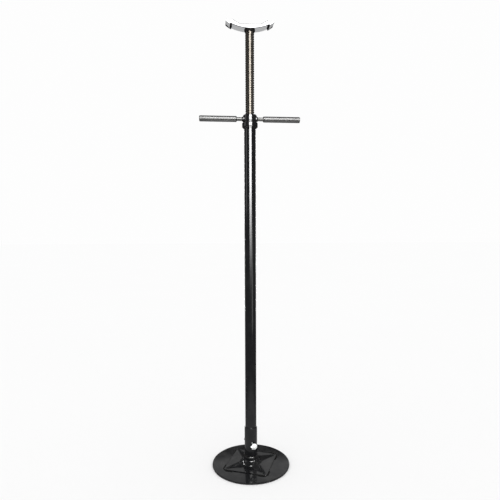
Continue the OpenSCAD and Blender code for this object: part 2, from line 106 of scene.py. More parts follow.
WALL = 0.0026
PLATE_EDGE = 0.0016
SMALL_EDGE = 0.0006
GUSSET_HALF = 0.084
GUSSET_CORNER = 0.007
GUSSET_T = 0.003
GUSSET_TURN = math.radians(24)
RIB_H = 0.017
RIB_HALF = 0.021
RIB_TIP_HALF = 0.005
NECK_H = 0.010
NECK_ROUND = 0.001
NECK_IN = SOCKET_R + 0.0003
NECK_OUT = NECK_IN + GUSSET_T + NECK_ROUND
DOME_OUT = NECK_OUT + 0.014
RIB_TIP = GUSSET_HALF * math.sqrt(2) - 0.009
FLAT_Z = PLATE_T + GUSSET_T
NECK_Z = FLAT_Z + RIB_H + NECK_H
BEAD_R = 0.0040
BEAD_LEN = 0.026
BEAD_MARGIN = 0.002
SOCKET_BEAD_R = 0.0044
THREAD_DEPTH = 0.0022
THREAD_GAP = 0.0004
CREST_SHARE = 0.42
FLANK_SLOPE = math.tan(math.radians(15))
SHOULDER = 0.001
PLAIN_FOOT = 0.003
PLAIN_HEAD = 0.001
RIVET_R = 0.009
STOP_Z = span("stop_washer")[1][2]
NUT_R = 0.02475
NUT_FLOOR = NUT_HIGH[2] - 0.035
CUP_TOP = NUT_FLOOR + 0.007
CUP_WALL = 0.0026
CUP_ROUND = 0.003
BOSS_R = 0.0085
SHEET = 0.004
WEB_REACH = 0.070
SADDLE_R = 0.171
WEB_ANGLE = math.asin(WEB_REACH / SADDLE_R)
WEB_RISE = SADDLE_R * (1 - math.cos(WEB_ANGLE))
LIP_H = 0.014
LIP_FLAT = 0.037
LIP_RISE = 0.019
LIP_END = 0.071
LIP_ROUND = 0.0031
CORNER_ROUND = 0.0026
HEM_T = 0.0034
END_SLOPE = math.radians(34)
END_BEAD_R = 0.0034
TIP_X = SADDLE_HIGH[0]


# ---- mesh helpers ----------------------------------------------------------

def make_object(name, verts, faces, body, slot_name, material, replaces, sharp):
    """A mesh object in the row frame that rides on a body; edges over sharp degrees stay sharp."""
    mesh = bpy.data.meshes.new(name)
    mesh.from_pydata([tuple(v) for v in verts], [], faces)
    mesh.validate()
    bm = bmesh.new()
    bm.from_mesh(mesh)
    bmesh.ops.remove_doubles(bm, verts=bm.verts, dist=1e-7)
    bmesh.ops.recalc_face_normals(bm, faces=bm.faces)
    bm.to_mesh(mesh)
    bm.free()
    mesh.polygons.foreach_set("use_smooth", [True] * len(mesh.polygons))
    mesh.set_sharp_from_angle(angle=math.radians(sharp))
    obj = bpy.data.objects.new(name, mesh)
    bpy.context.scene.collection.objects.link(obj)
    mesh.materials.append(material)
    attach(obj, body)
    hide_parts(*replaces)
    return obj


def arc(cx, cz, r, start, end, steps):
    """Points on a circle from start to end degrees."""
    angles = np.radians(np.linspace(start, end, steps + 1))
    return [(cx + r * math.cos(a), cz + r * math.sin(a)) for a in angles]


def fillet(points, radii, steps=6):
    """A closed outline with each corner rounded by its own radius."""
    out = []
    count = len(points)
    for i, (p, r) in enumerate(zip(points, radii)):
        here = Vector(p)
        before = (Vector(points[i - 1]) - here).normalized()
        after = (Vector(points[(i + 1) % count]) - here).normalized()
        if r <= 0:
            out.append(tuple(here))
            continue
        half = before.angle(after) / 2
        reach = r / math.tan(half)
        centre = here + (before + after).normalized() * (r / math.sin(half))
        first = here + before * reach - centre
        last = here + after * reach - centre
        sweep = math.atan2(first.x * last.y - first.y * last.x, first.dot(last))
        for k in range(steps + 1):
            turn = sweep * k / steps
            c, s = math.cos(turn), math.sin(turn)
            out.append((centre.x + c * first.x - s * first.y,
                        centre.y + s * first.x + c * first.y))
    return out


def lathe(profile, segments, place=None):
    """Turns a closed (radius, height) outline about Z."""
    verts = []
    for k in range(segments):
        c, s = math.cos(TAU * k / segments), math.sin(TAU * k / segments)
        for r, z in profile:
            verts.append(Vector((r * c, r * s, z)))
    n = len(profile)
    faces = []
    for k in range(segments):
        nxt = (k + 1) % segments
        for i in range(n):
            j = (i + 1) % n
            faces.append((k * n + i, nxt * n + i, nxt * n + j, k * n + j))
    if place is not None:
        verts = [place @ v for v in verts]
    return verts, faces


def grid_faces(rows, columns, wrap_rows=False):
    """Quads of a rows x columns net of points whose columns close into a loop."""
    faces = []
    for i in range(rows if wrap_rows else rows - 1):
        this_row, next_row = i * columns, ((i + 1) % rows) * columns
        for j in range(columns):
            k = (j + 1) % columns
            faces.append((this_row + j, this_row + k, next_row + k, next_row + j))
    return faces


def end_faces(rows, columns):
    """The two faces that close the first and the last row of a net."""
    return [tuple(range(columns)), tuple(range((rows - 1) * columns, rows * columns))]


def merged(*parts):
    """Joins several (verts, faces) pairs into one."""
    verts, faces = [], []
    for part_verts, part_faces in parts:
        base = len(verts)
        verts += [Vector(v) for v in part_verts]
        faces += [tuple(base + i for i in f) for f in part_faces]
    return verts, faces


def turned(part, matrix):
    """A (verts, faces) pair carried by a matrix."""
    verts, faces = part
    return [matrix @ Vector(v) for v in verts], faces


def ripple(seed, t):
    """A smooth, repeatable wobble between -1 and 1."""
    return (math.sin(7.3 * t + seed) + math.sin(17.9 * t + 2.1 * seed)
            + math.sin(41.7 * t + 3.7 * seed)) / 3


# ---- materials -------------------------------------------------------------

class Nodes:
    """Small helper that builds one material's node tree."""

    def __init__(self, name):
        self.material = bpy.data.materials.new(name)
        self.material.use_nodes = True
        self.tree = self.material.node_tree
        self.shader = self.tree.nodes["Principled BSDF"]
        coords = self.tree.nodes.new("ShaderNodeTexCoord")
        self.place = coords.outputs["Object"]

    def link(self, source, target):
        """Joins an output socket to an input socket."""
        self.tree.links.new(source, target)

    def noise(self, scale, detail=4.0, roughness=0.55, stretch=None):
        """Noise in the object's own coordinates, stretched along the axes if asked."""
        node = self.tree.nodes.new("ShaderNodeTexNoise")
        node.inputs["Scale"].default_value = scale
        node.inputs["Detail"].default_value = detail
        node.inputs["Roughness"].default_value = roughness
        place = self.place
        if stretch is not None:
            mapping = self.tree.nodes.new("ShaderNodeMapping")
            mapping.inputs["Scale"].default_value = stretch
            self.link(self.place, mapping.inputs["Vector"])
            place = mapping.outputs["Vector"]
        self.link(place, node.inputs["Vector"])
        return node.outputs["Fac"]

    def span(self, value, low, high, out_low, out_high):
        """Maps low..high to out_low..out_high."""
        node = self.tree.nodes.new("ShaderNodeMapRange")
        node.inputs["From Min"].default_value = low
        node.inputs["From Max"].default_value = high
        node.inputs["To Min"].default_value = out_low
        node.inputs["To Max"].default_value = out_high
        self.link(value, node.inputs["Value"])
        return node.outputs["Result"]

    def mix(self, factor, a, b):
        """A colour between a and b."""
        node = self.tree.nodes.new("ShaderNodeMix")
        node.data_type = "RGBA"
        self.link(factor, node.inputs["Factor"])
        for value, name in ((a, "A"), (b, "B")):
            socket = [s for s in node.inputs if s.name == name and s.type == "RGBA"][0]
            if isinstance(value, tuple):
                socket.default_value = (*value, 1.0)
            else:
                self.link(value, socket)
        return [s for s in node.outputs if s.type == "RGBA"][0]

    def math(self, operation, a, b):
        """One arithmetic node; a and b are numbers or sockets."""
        node = self.tree.nodes.new("ShaderNodeMath")
        node.operation = operation
        for value, socket in ((a, node.inputs[0]), (b, node.inputs[1])):
            if isinstance(value, (int, float)):
                socket.default_value = value
            else:
                self.link(value, socket)
        return node.outputs["Value"]

    def edges(self, radius):
        """1 on sharp edges, 0 on open faces."""
        bevel = self.tree.nodes.new("ShaderNodeBevel")
        bevel.samples = 6
        bevel.inputs["Radius"].default_value = radius
        geometry = self.tree.nodes.new("ShaderNodeNewGeometry")
        dot = self.tree.nodes.new("ShaderNodeVectorMath")
        dot.operation = "DOT_PRODUCT"
        self.link(bevel.outputs["Normal"], dot.inputs[0])
        self.link(geometry.outputs["Normal"], dot.inputs[1])
        return self.span(dot.outputs["Value"], 0.995, 0.90, 0.0, 1.0)

    def bump(self, value, strength, distance, after=None):
        """A bumped normal, laid over another one if given."""
        node = self.tree.nodes.new("ShaderNodeBump")
        node.inputs["Strength"].default_value = strength
        node.inputs["Distance"].default_value = distance
        self.link(value, node.inputs["Height"])
        if after is not None:
            self.link(after, node.inputs["Normal"])
        return node.outputs["Normal"]

    def set(self, **values):
        """Sets or links the shader's sockets and gives the finished material."""
        names = {"color": "Base Color", "metallic": "Metallic", "roughness": "Roughness",
                 "ior": "IOR", "normal": "Normal"}
        for key, value in values.items():
            socket = self.shader.inputs[names[key]]
            if isinstance(value, (int, float)):
                socket.default_value = value
            elif isinstance(value, tuple):
                socket.default_value = (*value, 1.0)
            else:
                self.link(value, socket)
        return self.material


PAINT_IOR = 1.45
ENAMEL_BLACK = (0.0075, 0.0078, 0.0085)
ENAMEL_WORN = (0.30, 0.29, 0.28)
DUST = (0.16, 0.155, 0.15)
SCALE_DARK = (0.006, 0.006, 0.0065)
SCALE_LIGHT = (0.020, 0.019, 0.018)
GLOSSY = (0.10, 0.17)
SATIN = (0.10, 0.30)
SOOTY = (0.45, 0.60)
CHROME_DARK = (0.70, 0.71, 0.72)
CHROME_LIGHT = (0.80, 0.81, 0.82)
CHROME_GLOSS = (0.04, 0.13)
OIL_DARK = (0.12, 0.106, 0.088)
OIL_LIGHT = (0.26, 0.24, 0.21)
CREST_BRIGHT = (0.42, 0.40, 0.37)
OIL_GLOSS = (0.18, 0.36)


def enamel(name, dust=0.10):
    """Glossy black enamel: faint mottling, dust, orange peel and rubbed edges."""
    m = Nodes(name)
    mottled = m.mix(m.noise(38, 5), ENAMEL_BLACK, tuple(1.7 * c for c in ENAMEL_BLACK))
    worn = m.math("MULTIPLY", m.edges(0.0012), m.span(m.noise(160, 6, 0.7), 0.50, 0.66, 0, 1))
    dusty = m.math("MULTIPLY", m.span(m.noise(22, 8, 0.65), 0.45, 0.75, 0, 1), dust)
    color = m.mix(dusty, mottled, DUST)
    color = m.mix(m.math("MULTIPLY", worn, 0.35), color, ENAMEL_WORN)
    gloss = m.span(m.noise(70, 6, 0.6), 0.3, 0.75, *GLOSSY)
    peel = m.bump(m.noise(420, 2, 0.4), 0.10, 0.0004)
    wave = m.bump(m.noise(60, 2, 0.4), 0.05, 0.0015, after=peel)
    return m.set(color=color, roughness=gloss, normal=wave, ior=PAINT_IOR)


def weld_paint(name, rough=SATIN, ior=PAINT_IOR):
    """Enamel over a weld bead: rougher, with spatter and scale."""
    m = Nodes(name)
    color = m.mix(m.noise(260, 6, 0.7), SCALE_DARK, SCALE_LIGHT)
    gloss = m.span(m.noise(180, 6, 0.65), 0.3, 0.75, *rough)
    lumps = m.bump(m.noise(520, 4, 0.6), 0.35, 0.0006)
    return m.set(color=color, roughness=gloss, normal=lumps, ior=ior)


def bare_metal(name, dark, light, rough, scale, stretch=None):
    """Metal with stains, fine grain and brighter rubbed edges."""
    wear, grain = 0.3, 0.06
    m = Nodes(name)
    tone = m.mix(m.noise(scale, 6, 0.6, stretch), dark, light)
    lighter = tuple(min(1.0, 1.25 * c) for c in light)
    tone = m.mix(m.math("MULTIPLY", m.edges(0.0008), wear), tone, lighter)
    gloss = m.span(m.noise(2.2 * scale, 6, 0.6, stretch), 0.3, 0.75, *rough)
    fine = m.bump(m.noise(9 * scale, 3, 0.5, stretch), grain, 0.0003)
    return m.set(color=tone, metallic=1.0, roughness=gloss, normal=fine)


def chrome(name):
    """Chrome plate: nearly a mirror, with light smears and a little waviness."""
    m = Nodes(name)
    tone = m.mix(m.noise(30, 6, 0.6), CHROME_DARK, CHROME_LIGHT)
    gloss = m.span(m.noise(55, 7, 0.65), 0.35, 0.75, *CHROME_GLOSS)
    wave = m.bump(m.noise(28, 2, 0.4), 0.06, 0.0012)
    scuff = m.bump(m.noise(600, 3, 0.6, (1, 4, 1)), 0.03, 0.0002, after=wave)
    return m.set(color=tone, metallic=1.0, roughness=gloss, normal=scuff)


def oiled_thread(name):
    """Dark rolled steel: oil-brown in the roots, polished on the crests."""
    m = Nodes(name)
    stain = m.mix(m.noise(45, 7, 0.65), OIL_DARK, OIL_LIGHT)
    stain = m.mix(m.math("MULTIPLY", m.edges(0.0007), 0.5), stain, CREST_BRIGHT)
    gloss = m.span(m.noise(120, 6, 0.6), 0.3, 0.75, *OIL_GLOSS)
    mill = m.bump(m.noise(700, 3, 0.6, (1, 1, 3)), 0.10, 0.0003)
    return m.set(color=stain, metallic=1.0, roughness=gloss, normal=mill)


# ---- base ------------------------------------------------------------------

def base_plate():
    """The round floor plate with a rounded upper rim."""
    outline = [(0.0, 0.0), (PLATE_R, 0.0), (PLATE_R, PLATE_T), (0.0, PLATE_T)]
    profile = fillet(outline, [0, SMALL_EDGE, PLATE_EDGE, 0], 5)
    part = lathe(profile, 192)
    return make_object("plate_round", *part, "stand", "black_enamel",
                       enamel("enamel_plate", dust=0.16), ["base_plate"], 40)


def smooth_step(u):
    """A soft ramp from 0 to 1."""
    u = min(1.0, max(0.0, u))
    return u * u * (3 - 2 * u)


def outline_reach(off):
    """Distance from the axis to the gusset's outline, off radians from a corner."""
    edge = GUSSET_HALF / math.cos(math.pi / 4 - abs(off))
    centre = (GUSSET_HALF - GUSSET_CORNER) * math.sqrt(2)
    inside = GUSSET_CORNER ** 2 - (centre * math.sin(off)) ** 2
    arc_reach = centre * math.cos(off) + math.sqrt(inside) if inside > 0 else edge
    return min(edge, arc_reach)


def sheet_rise(r, off):
    """Height of the pressed star above the flat of the sheet."""
    u = min(1.0, max(0.0, (r - NECK_OUT) / (RIB_TIP - NECK_OUT)))
    half = RIB_HALF * (1 - u) + RIB_TIP_HALF * u
    across = abs(r * math.sin(off)) / half
    rib = RIB_H * (1 - u) * (1 - smooth_step(across))
    dome = RIB_H * smooth_step((DOME_OUT - r) / (DOME_OUT - NECK_OUT))
    return (rib ** 4 + dome ** 4) ** 0.25


def gusset():
    """The pressed star sheet, with its neck and rounded rims."""
    per_side, steps, rim, rounding = 30, 36, 0.0009, 0.0003
    offs = [math.copysign((abs(k) / per_side) ** 1.4, k) * math.pi / 4
            for k in range(-per_side + 1, per_side + 1)]
    turns = [(q * math.pi / 2 + off, off) for q in range(4) for off in offs]
    neck = [(NECK_Z - 0.004, NECK_IN), (NECK_Z, NECK_IN), (NECK_Z, NECK_OUT - NECK_ROUND),
            (NECK_Z - rounding, NECK_OUT - rounding), (NECK_Z - NECK_ROUND, NECK_OUT),
            (NECK_Z - 0.005, NECK_OUT)]
    points = [Vector((r * math.cos(t), r * math.sin(t), z)) for z, r in neck for t, _off in turns]

    def add(t, r, z):
        points.append(Vector((r * math.cos(t), r * math.sin(t), z)))

    for k in range(steps + 1):
        share = (k / steps) ** 1.25
        for t, off in turns:
            r = NECK_OUT + (outline_reach(off) - rim - NECK_OUT) * share
            add(t, r, FLAT_Z + sheet_rise(r, off))
    for degrees in (30, 60, 90):
        drop = rim * (1 - math.cos(math.radians(degrees)))
        for t, off in turns:
            out = rim * math.sqrt(max(0.0, 1 - (1 - drop / rim) ** 2))
            add(t, outline_reach(off) - rim + out, FLAT_Z - drop)
    for t, off in turns:
        add(t, outline_reach(off), PLATE_T)
    faces = grid_faces(len(points) // len(turns), len(turns))
    verts = [Matrix.Rotation(GUSSET_TURN, 4, "Z") @ p for p in points]
    return make_object("gusset_star", verts, faces, "stand", "gusset_enamel",
                       enamel("enamel_gusset", dust=0.14), ["base_gusset"], 50)


def bead(length, radius, seed, rings=26, sides=12):
    """One rippled weld bead along +X, its flat side down and its back against -Y."""
    fit, back, crown, sole = 0.92, 0.4, 0.95, 0.2
    verts = []
    for i in range(rings + 1):
        t = i / rings
        end = math.sqrt(max(0.0, 1 - (2 * t - 1) ** 8))
        wave = 1 + 0.10 * abs(math.sin(math.pi * 5.5 * t + seed)) + 0.05 * ripple(seed, 9 * t)
        r = radius * max(0.05, end) * wave * fit
        for k in range(sides):
            a = TAU * k / sides
            y = r * math.cos(a) * (1.0 if math.cos(a) > 0 else back)
            z = r * math.sin(a) * (crown if math.sin(a) > 0 else sole)
            verts.append(Vector((length * (t - 0.5), y, z)))
    return verts, grid_faces(rings + 1, sides) + end_faces(rings + 1, sides)


def gusset_beads():
    """The eight weld beads, two beside each corner of the gusset."""
    out, up, overrun = 0.0008, 0.0006, 0.004
    parts = []
    inset = GUSSET_HALF - GUSSET_CORNER - BEAD_MARGIN - BEAD_LEN / 2
    for q in range(4):
        for side, sign in enumerate((-1, 1)):
            place = (Matrix.Rotation(GUSSET_TURN + math.pi / 4 + q * math.pi / 2, 4, "Z")
                     @ Matrix.Translation((GUSSET_HALF + out, sign * inset, PLATE_T + up))
                     @ Matrix.Rotation(-math.pi / 2, 4, "Z"))
            parts.append(turned(bead(BEAD_LEN + overrun, BEAD_R, 3 * q + side), place))
    return make_object("gusset_beads", *merged(*parts), "stand", "weld_black",
                       weld_paint("paint_bead", SOOTY, 1.25), ["gusset_welds"], 60)


def ring_bead(centre_r, centre_z, bead_r, waves, seed, start, end, steps=220, sides=10):
    """A weld bead laid round a tube; its section is an arc from start to end degrees."""
    scallop, wobble = 0.07, 0.04
    verts = []
    for k in range(steps):
        t = k / steps
        wave = 1 + scallop * abs(math.sin(math.pi * waves * t)) - scallop
        wave += wobble * ripple(seed, 20 * t)
        for i in range(sides + 1):
            a = math.radians(start + (end - start) * i / sides)
            r = centre_r + bead_r * wave * math.cos(a)
            z = centre_z + bead_r * wave * math.sin(a)
            verts.append(Vector((r * math.cos(TAU * t), r * math.sin(TAU * t), z)))
        verts.append(Vector((centre_r * math.cos(TAU * t), centre_r * math.sin(TAU * t),
                             centre_z)))
    return verts, grid_faces(steps, sides + 2, wrap_rows=True)


# ---- socket and tube -------------------------------------------------------

def socket():
    """The socket tube with a rounded rim."""
    outline = [(SOCKET_R - WALL, PLATE_T), (SOCKET_R, PLATE_T), (SOCKET_R, SOCKET_TOP),
               (SOCKET_R - WALL, SOCKET_TOP)]
    part = lathe(fillet(outline, [0, 0, 0.0013, SMALL_EDGE], 5), 128)
    return make_object("socket_tube", *part, "stand", "socket_enamel",
                       enamel("enamel_socket"), ["post_socket"], 40)


def socket_ring():
    """The weld ring between the gusset's neck and the socket."""
    part = ring_bead(SOCKET_R, NECK_Z, SOCKET_BEAD_R, 34, 1.7, -4, 94)
    return make_object("socket_bead", *part, "stand", "socket_weld",
                       weld_paint("paint_socket_bead"), ["socket_weld"], 60)


def tube():
    """The main tube, divided along its length so that its shading stays even."""
    inner = TUBE_R - WALL
    outline = [(inner, PLATE_T), (TUBE_R, PLATE_T), (TUBE_R, TUBE_TOP), (inner, TUBE_TOP)]
    rounded = fillet(outline, [0, 0, 0.0007, 0.0004], 4)
    rungs = 60
    side = [(TUBE_R, PLATE_T + (TUBE_TOP - 0.002 - PLATE_T) * k / rungs) for k in range(1, rungs)]
    profile = [rounded[0], rounded[1]] + side + rounded[2:]
    part = lathe(profile, 128)
    return make_object("main_tube", *part, "stand", "tube_enamel",
                       enamel("enamel_tube", dust=0.05), ["post_tube"], 40)


# ---- nut and handles -------------------------------------------------------

def along_x(sign):
    """Places a part turned about Z so that its axis runs along X at the handles' height."""
    return Matrix.Translation((0, 0, HANDLE_Z)) @ Matrix.Rotation(sign * math.pi / 2, 4, "Y")


def nut_body():
    """The casting: cup, waist, body and the two bosses that take the handle rods."""
    bottom, top = NUT_LOW[2], NUT_HIGH[2]
    bore = SCREW_R + THREAD_GAP
    waist = NUT_R - 0.0016
    waist_top, body_foot = CUP_TOP + 0.0035, CUP_TOP + 0.006
    cup_in = CUP_R - CUP_WALL
    tight, top_round = 0.0008, 0.004
    outline = [(cup_in, bottom), (CUP_R, bottom), (CUP_R, CUP_TOP), (waist, CUP_TOP),
               (waist, waist_top), (NUT_R, body_foot), (NUT_R, top), (bore, top),
               (bore, NUT_FLOOR), (cup_in, NUT_FLOOR)]
    radii = [SMALL_EDGE, CUP_ROUND, CUP_ROUND, tight, tight, 0.002, top_round, tight, 0, 0]
    body = lathe(fillet(outline, radii, 7), 144)
    flare = BOSS_R + 0.0035
    seat = NUT_R - 0.004
    hole = ROD_R + 0.0003
    hole_end = BOSS_REACH - 0.004
    boss = [(0.0, seat), (flare, seat), (flare, NUT_R - 0.0005), (BOSS_R, NUT_R + 0.0012),
            (BOSS_R, BOSS_REACH), (hole, BOSS_REACH), (hole, hole_end), (0.0, hole_end)]
    rounded = fillet(boss, [0, 0, SMALL_EDGE, 0.0025, 0.0016, 0.0003, 0, 0], 6)
    bosses = [lathe(rounded, 64, along_x(sign)) for sign in (1, -1)]
    return make_object("nut_casting", *merged(body, *bosses), "nut", "nut_enamel",
                       enamel("enamel_nut", dust=0.06), ["spinner_nut"], 40)


def rod(side, sign):
    """A handle rod with a turned groove beside the boss; its outer end is inside the grip."""
    start, end = ROD_LOW[0], GRIP_LOW[0] + 0.010
    groove = 0.0006
    shoulder = BOSS_REACH + 0.0012
    profile = [(0.0, start), (ROD_R, start), (ROD_R, shoulder),
               (ROD_R - groove, shoulder + groove), (ROD_R - groove, shoulder + 2 * groove),
               (ROD_R, shoulder + 3 * groove), (ROD_R, end), (0.0, end)]
    part = lathe(profile, 48, along_x(sign))
    steel = bare_metal("steel_rod_" + side, (0.30, 0.30, 0.29), (0.52, 0.52, 0.51),
                       (0.22, 0.38), 60, (1, 8, 8))
    return make_object("rod_turned_" + side, *part, "nut", "rod_steel_" + side, steel,
                       ["rod_" + side], 35)


def grip(side, sign):
    """A diamond-knurled grip with a plain rounded nose and a chamfered end."""
    low, high = GRIP_LOW[0], GRIP_HIGH[0]
    nose, tail, nose_round = 0.0060, 0.0026, 0.0035
    sides, depth, stretch = 84, 0.00011, 1.25
    steps = 2 * round((high - low - nose - tail) / (TAU * GRIP_R / sides) / 2 / stretch)
    first, last = low + nose, high - tail
    head = [(0.0045, low + 0.0002), (0.0062, low)]
    head += arc(GRIP_R - nose_round, low + nose_round, nose_round, -90, 0, 7)
    head += [(GRIP_R, first - 0.0008), (GRIP_R - 0.0004, first - 0.0002)]
    foot = [(GRIP_R - 0.0005, last + 0.0003), (GRIP_R - 0.0004, last + 0.0009),
            (GRIP_R - 0.0006, high - 0.0012), (GRIP_R - 0.0016, high - 0.0002),
            (GRIP_R - 0.0022, high), (0.0030, high), (0.0022, high - 0.0004)]
    rings = [([r] * sides, x) for r, x in head]
    rings += [([GRIP_R - (depth if (i + k) % 2 else 0.0) for k in range(sides)],
               first + (last - first) * i / steps) for i in range(steps + 1)]
    rings += [([r] * sides, x) for r, x in foot]
    verts = [Vector((r * math.cos(TAU * k / sides), r * math.sin(TAU * k / sides), x))
             for radii, x in rings for k, r in enumerate(radii)]
    faces = []
    for i in range(len(rings) - 1):
        knurled = len(head) <= i < len(head) + steps
        for k in range(sides):
            a, b = i * sides + k, i * sides + (k + 1) % sides
            c, d = a + sides, b + sides
            if not knurled:
                faces.append((a, b, d, c))
            elif (i - len(head) + k) % 2:
                faces += [(a, b, d), (a, d, c)]
            else:
                faces += [(a, b, c), (b, d, c)]
    faces += end_faces(len(rings), sides)
    steel = bare_metal("steel_grip_" + side, (0.34, 0.34, 0.335), (0.52, 0.52, 0.515),
                       (0.18, 0.28), 70)
    return make_object("grip_knurled_" + side, *turned((verts, faces), along_x(sign)), "nut",
                       "grip_steel_" + side, steel, ["grip_" + side], 12)


# ---- screw and saddle ------------------------------------------------------

def thread_sheet():
    """The screw's helical surface with softened crests and roots, and its plain ends."""
    seg = 48
    crest, flank = CREST_SHARE * PITCH, FLANK_SLOPE * THREAD_DEPTH
    root_r = SCREW_R - THREAD_DEPTH
    soft, run = 0.00035, 0.35
    head = SADDLE_Z - PLAIN_HEAD
    foot = STOP_Z + PLAIN_FOOT
    count = math.floor((head - foot) / PITCH) - 1
    start = head - (count + 1) * PITCH + crest / 2 + flank
    shape = [(0.0, soft - crest / 2), (0.0, crest / 2 - soft),
             (soft * 0.6, crest / 2 + soft * 0.3),
             (THREAD_DEPTH - soft * 0.6, crest / 2 + flank - soft * 0.2),
             (THREAD_DEPTH, crest / 2 + flank + soft),
             (THREAD_DEPTH, PITCH - crest / 2 - flank - soft),
             (THREAD_DEPTH - soft * 0.6, PITCH - crest / 2 - flank + soft * 0.2),
             (soft * 0.6, PITCH - crest / 2 - soft * 0.3)]
    total = seg * count
    verts = []
    for i in range(total + 1):
        a = TAU * i / seg
        grow = min(1.0, max(0.0, (i / seg - 1) / run))
        fade = min(1.0, max(0.0, (count - 1 - i / seg) / run))
        for depth, rise in shape:
            r = SCREW_R - depth * fade
            r = root_r + (r - root_r) * grow if i < seg * 2 else r
            verts.append(Vector((r * math.cos(a), r * math.sin(a),
                                 start + PITCH * i / seg + rise)))
    n = len(shape)
    faces = []
    for i in range(total):
        for j in range(n - 1):
            faces.append((n * i + j, n * i + n + j, n * i + n + j + 1, n * i + j + 1))
        if i < total - seg:
            a, b = n * i + n - 1, n * (i + seg)
            faces.append((a, a + n, b + n, b))
    core, journal_r = 0.004, root_r - SHOULDER
    plain = lathe([(core, SCREW_LOW[2]), (journal_r, SCREW_LOW[2]),
                   (journal_r, STOP_Z + SHOULDER), (root_r, STOP_Z + SHOULDER),
                   (root_r, start + PITCH), (core, start + PITCH)], seg)
    shank = lathe([(core, head - PITCH), (SCREW_R, head - PITCH * 1.2), (SCREW_R, SADDLE_Z),
                   (core, SADDLE_Z)], seg)
    return merged((verts, faces), plain, shank)


def screw():
    """The lift screw and the riveted spigot that shows inside the saddle."""
    foot, top = SADDLE_Z - 0.004, SCREW_HIGH[2]
    outline = [(0.0, foot), (RIVET_R, foot), (RIVET_R, top), (0.0, top)]
    rivet = lathe(fillet(outline, [0, 0, 0.001, 0], 5), 64)
    return make_object("screw_thread", *merged(thread_sheet(), rivet), "screw", "screw_steel",
                       oiled_thread("steel_thread"), ["lift_screw"], 32)


def saddle_collar():
    """The weld that joins the screw to the saddle's underside."""
    part = ring_bead(SCREW_R, SADDLE_Z - 0.0002, 0.0037, 26, 4.2, -92, 2)
    foot, knee, out = SADDLE_Z - 0.0075, SADDLE_Z - 0.0035, SCREW_R + 0.0034
    outline = [(SCREW_R, foot), (SCREW_R + 0.0008, foot), (out, knee), (out, SADDLE_Z),
               (SCREW_R, SADDLE_Z)]
    skirt = lathe(fillet(outline, [0, 0.0003, 0.001, 0, 0], 4), 96)
    return make_object("saddle_bead", *merged(part, skirt), "screw", "saddle_weld",
                       weld_paint("paint_saddle_bead", SOOTY, 1.12), ["saddle_weld"], 60)


def lip_top(x):
    """Height of a lip's top edge at x."""
    top = SADDLE_Z + LIP_H
    if abs(x) <= LIP_FLAT:
        return top
    return top + LIP_RISE * (abs(x) - LIP_FLAT) / (LIP_END - LIP_FLAT)


def lip_radius(angle):
    """Distance from the arc's centre to the lip's top edge, along a ray at that angle."""
    search, halvings = 0.05, 40
    near, far = SADDLE_R - search, SADDLE_R
    for _step in range(halvings):
        middle = (near + far) / 2
        x = middle * math.sin(angle)
        z = SADDLE_Z + SADDLE_R - middle * math.cos(angle)
        if z > lip_top(x):
            near = middle
        else:
            far = middle
    return far


def trough():
    """The curved tray: a rounded channel section carried along its arc."""
    kink = math.atan2(LIP_FLAT, SADDLE_R - LIP_H)
    angles = sorted(set(list(np.linspace(-WEB_ANGLE, WEB_ANGLE, 61)) + [-kink, kink]))
    radii = [LIP_ROUND, CORNER_ROUND, CORNER_ROUND, LIP_ROUND, SMALL_EDGE, 0.002, 0.002, SMALL_EDGE]
    verts = []
    for a in angles:
        top = lip_radius(a)
        outline = [(top, -SADDLE_HALF), (SADDLE_R, -SADDLE_HALF), (SADDLE_R, SADDLE_HALF),
                   (top, SADDLE_HALF), (top, SADDLE_HALF - SHEET),
                   (SADDLE_R - SHEET, SADDLE_HALF - SHEET),
                   (SADDLE_R - SHEET, SHEET - SADDLE_HALF), (top, SHEET - SADDLE_HALF)]
        for r, y in fillet(outline, radii, 6):
            verts.append(Vector((r * math.sin(a), y, SADDLE_Z + SADDLE_R - r * math.cos(a))))
    n = len(verts) // len(angles)
    return verts, grid_faces(len(angles), n) + end_faces(len(angles), n)


def extruded(outline, half, edge):
    """An (x, z) outline drawn out to y = +-half with its two rims rounded by edge."""
    steps = 4
    count = len(outline)
    normals = []
    for i in range(count):
        along = Vector(outline[(i + 1) % count]) - Vector(outline[i - 1])
        normals.append(Vector((along.y, -along.x)).normalized())
    rows = []
    for k in range(steps + 1):
        a = math.pi / 2 * (1 - k / steps)
        rows.append((-half + edge * (1 - math.sin(a)), edge * (1 - math.cos(a))))
    both = rows + [(-y, inset) for y, inset in reversed(rows)]
    verts = []
    for y, inset in both:
        for p, nrm in zip(outline, normals):
            verts.append(Vector((p[0] - nrm.x * inset, y, p[1] - nrm.y * inset)))
    return verts, grid_faces(len(both), count) + end_faces(len(both), count)


def end_frame(sign):
    """The folded end's own plane: x runs outwards and up the slope, y across, z off the sheet."""
    corner = Matrix.Translation((WEB_REACH, 0, SADDLE_Z + WEB_RISE))
    base = corner @ Matrix.Rotation(-END_SLOPE, 4, "Y")
    return base if sign > 0 else Matrix.Rotation(math.pi, 4, "Z") @ base


def folded_end():
    """The sheet, the fold and the turned-under flap, as one outline."""
    fold_r = (SHEET + HEM_T) / 2
    tip_spare, slope_spare, bite, step = 0.0019, 0.0012, 0.003, 0.0002
    length = (TIP_X - tip_spare - WEB_REACH) / math.cos(END_SLOPE) - slope_spare
    straight = length - fold_r
    outline = [(-bite, step), (-step, step), (0.0, 4 * step - HEM_T), (4 * step, step - HEM_T)]
    outline += arc(straight, SHEET - fold_r, fold_r, -90, 90, 14) + [(-bite, SHEET)]
    return extruded(outline, SADDLE_HALF, 0.0009)


